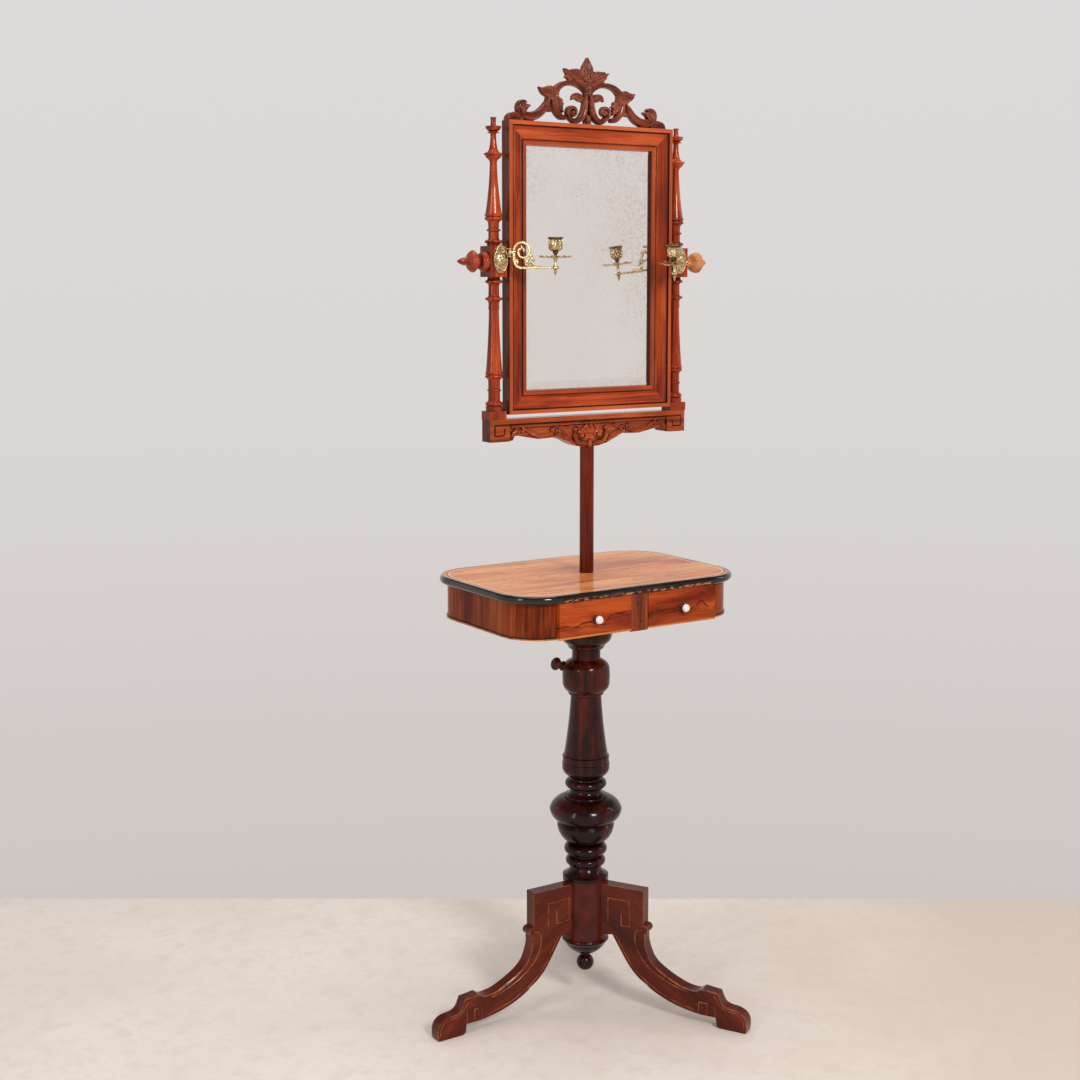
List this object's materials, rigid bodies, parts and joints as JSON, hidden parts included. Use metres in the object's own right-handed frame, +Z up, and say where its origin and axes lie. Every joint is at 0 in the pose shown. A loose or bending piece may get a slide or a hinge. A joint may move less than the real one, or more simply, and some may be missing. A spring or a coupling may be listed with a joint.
{
  "type": "vanity stand",
  "caption": "Floor-standing turned wood vanity stand: tripod column, small table with drawers, height-adjustable tilting mirror and swinging candle arms.",
  "frame": {"origin": "on the floor, on the axis of the column", "axes": "+Z up, -Y the side of the drawers and the mirror, +X to the right seen from the front"},
  "size_m": [0.6017, 0.582, 1.75],
  "materials": {
    "dark_wood": "French polished",
    "leg_wood": "French polished",
    "top_veneer": "French polished figured veneer",
    "ebonised_wood": "black polish",
    "carcass_veneer": "French polished",
    "drawer_veneer": "French polished figured veneer",
    "secondary_wood": "bare",
    "frame_wood": "French polished",
    "carved_wood": "waxed",
    "pale_wood": "waxed",
    "knob_wood": "polished",
    "mirror_plate": "bevelled, aged silvering",
    "porcelain": "glazed",
    "steel": "plain",
    "brass": "lacquered, worn"
  },
  "bodies": {
    "base": {"column": "dark_wood", "pendant_finial": "dark_wood", "leg_left": "leg_wood", "leg_front": "leg_wood", "leg_back": "leg_wood", "table_top": "top_veneer", "top_moulding": "ebonised_wood", "front_moulding": "ebonised_wood", "apron": "carcass_veneer", "base_moulding": "ebonised_wood", "bottom_board": "secondary_wood", "centre_stile": "carcass_veneer", "drawer_partitions": "secondary_wood", "drawer_guides": "secondary_wood", "table_screws": "steel"},
    "clamp_screw": {"clamp_screw": "dark_wood"},
    "clamp_knob": {"clamp_knob": "dark_wood"},
    "drawer_left": {"drawer_left_front": "drawer_veneer", "drawer_left_sides": "secondary_wood", "drawer_left_bottom": "secondary_wood", "drawer_left_back": "secondary_wood", "drawer_left_knob_stem": "knob_wood", "drawer_left_knob_cap": "porcelain"},
    "drawer_right": {"drawer_right_front": "drawer_veneer", "drawer_right_sides": "secondary_wood", "drawer_right_bottom": "secondary_wood", "drawer_right_back": "secondary_wood", "drawer_right_knob_stem": "knob_wood", "drawer_right_knob_cap": "porcelain"},
    "mast": {"mast": "frame_wood"},
    "mirror_stand": {"crossbar": "frame_wood", "post_left": "frame_wood", "post_right": "frame_wood", "sconce_plate_left": "brass", "sconce_plate_right": "brass", "sconce_plate_screws": "brass", "sconce_hinge_pins": "steel"},
    "mirror": {"frame_top": "frame_wood", "frame_bottom": "frame_wood", "frame_left": "frame_wood", "frame_right": "frame_wood", "mirror_glass": "mirror_plate", "backboard": "secondary_wood", "backboard_screws": "steel", "crest": "carved_wood"},
    "pivot_left": {"pivot_screw_left": "steel", "pivot_knob_left": "frame_wood"},
    "pivot_right": {"pivot_screw_right": "steel", "pivot_knob_right": "pale_wood"},
    "arm_left": {"sconce_arm_left": "brass", "drip_pan_left": "brass", "candle_cup_left": "brass", "arm_nut_left": "brass"},
    "arm_right": {"sconce_arm_right": "brass", "drip_pan_right": "brass", "candle_cup_right": "brass", "arm_nut_right": "brass"}
  },
  "joints": [
    {"name": "drawer_left_slide", "type": "slide", "parent": "base", "child": "drawer_left", "axis": [0, -1, 0], "range_m": [0, 0.2]},
    {"name": "drawer_right_slide", "type": "slide", "parent": "base", "child": "drawer_right", "axis": [0, -1, 0], "range_m": [0, 0.2]},
    {"name": "clamp_advance", "type": "slide", "parent": "base", "child": "clamp_screw", "axis": [-0.9272, 0, 0.3746], "range_m": [0, 0.004]},
    {"name": "clamp_turn", "type": "hinge", "parent": "clamp_screw", "child": "clamp_knob", "pos_m": [-0.0133, 0, 0.6344], "axis": [-0.9272, 0, 0.3746], "range_deg": [0, 360]},
    {"name": "mast_lift", "type": "slide", "parent": "base", "child": "mast", "axis": [0, 0, 1], "range_m": [-0.225, 0.1]},
    {"name": "mirror_swivel", "type": "hinge", "parent": "mast", "child": "mirror_stand", "pos_m": [0, 0, 1.0542], "axis": [0, 0, 1], "continuous": true},
    {"name": "mirror_tilt", "type": "hinge", "parent": "mirror_stand", "child": "mirror", "pos_m": [0, 0, 1.38815], "axis": [1, 0, 0], "range_deg": [-30, 30]},
    {"name": "pivot_left_turn", "type": "hinge", "parent": "mirror_stand", "child": "pivot_left", "pos_m": [-0.216, 0, 1.38815], "axis": [-1, 0, 0], "range_deg": [-180, 180]},
    {"name": "pivot_right_turn", "type": "hinge", "parent": "mirror_stand", "child": "pivot_right", "pos_m": [0.216, 0, 1.38815], "axis": [1, 0, 0], "range_deg": [-180, 180]},
    {"name": "arm_left_swing", "type": "hinge", "parent": "mirror_stand", "child": "arm_left", "pos_m": [-0.1842, -0.0304, 1.40315], "axis": [0, 0, -1], "range_deg": [-36.5, 108.5]},
    {"name": "arm_right_swing", "type": "hinge", "parent": "mirror_stand", "child": "arm_right", "pos_m": [0.1842, -0.0304, 1.40315], "axis": [0, 0, 1], "range_deg": [-27, 118]}
  ],
  "couplings": [
    {"joint": "clamp_turn", "follows": "clamp_advance", "rad_per_m": 1570.8}
  ]
}
